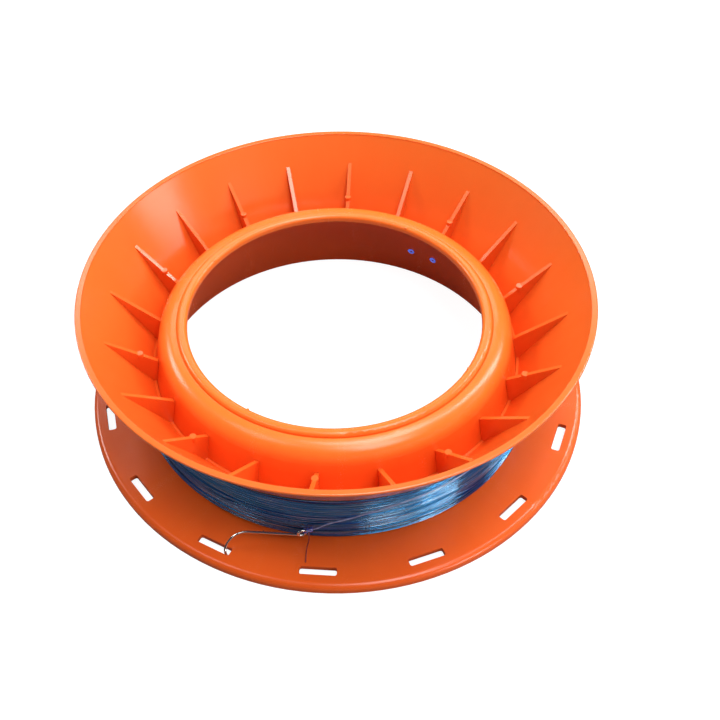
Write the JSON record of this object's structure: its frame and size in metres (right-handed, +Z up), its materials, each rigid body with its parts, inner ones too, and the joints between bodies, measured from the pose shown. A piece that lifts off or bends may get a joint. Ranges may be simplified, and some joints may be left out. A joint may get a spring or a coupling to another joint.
{
  "type": "fishing line spool",
  "caption": "Hand-held ring spool for fishing line: wide hand opening, flared ribbed casting cone, slotted hook flange, wound monofilament and a stowed hook.",
  "frame": {"origin": "middle of the flange's underside, on the surface the spool stands on", "axes": "+Z up along the spool's axis, from the flat hook flange to the flared casting cone; -Y towards the stowed hook"},
  "size_m": [0.2052, 0.2052, 0.0573],
  "materials": {
    "orange_plastic": "satin moulded",
    "blue_line": "clear glossy monofilament",
    "nickel_wire": "nickel plated"
  },
  "bodies": {
    "spool": {"core_drum": "orange_plastic", "casting_cone": "orange_plastic", "line_core": "blue_line"},
    "line_end": {"line_turns": "blue_line", "line_lead": "blue_line", "hook_knot": "blue_line", "line_tag_end": "blue_line", "hook": "nickel_wire"}
  },
  "joints": [
    {"name": "hook_travel", "type": "hinge", "parent": "spool", "child": "line_end", "pos_m": [0, 0, 0], "axis": [0, 0, -1], "range_deg": [0, 5.5]}
  ]
}
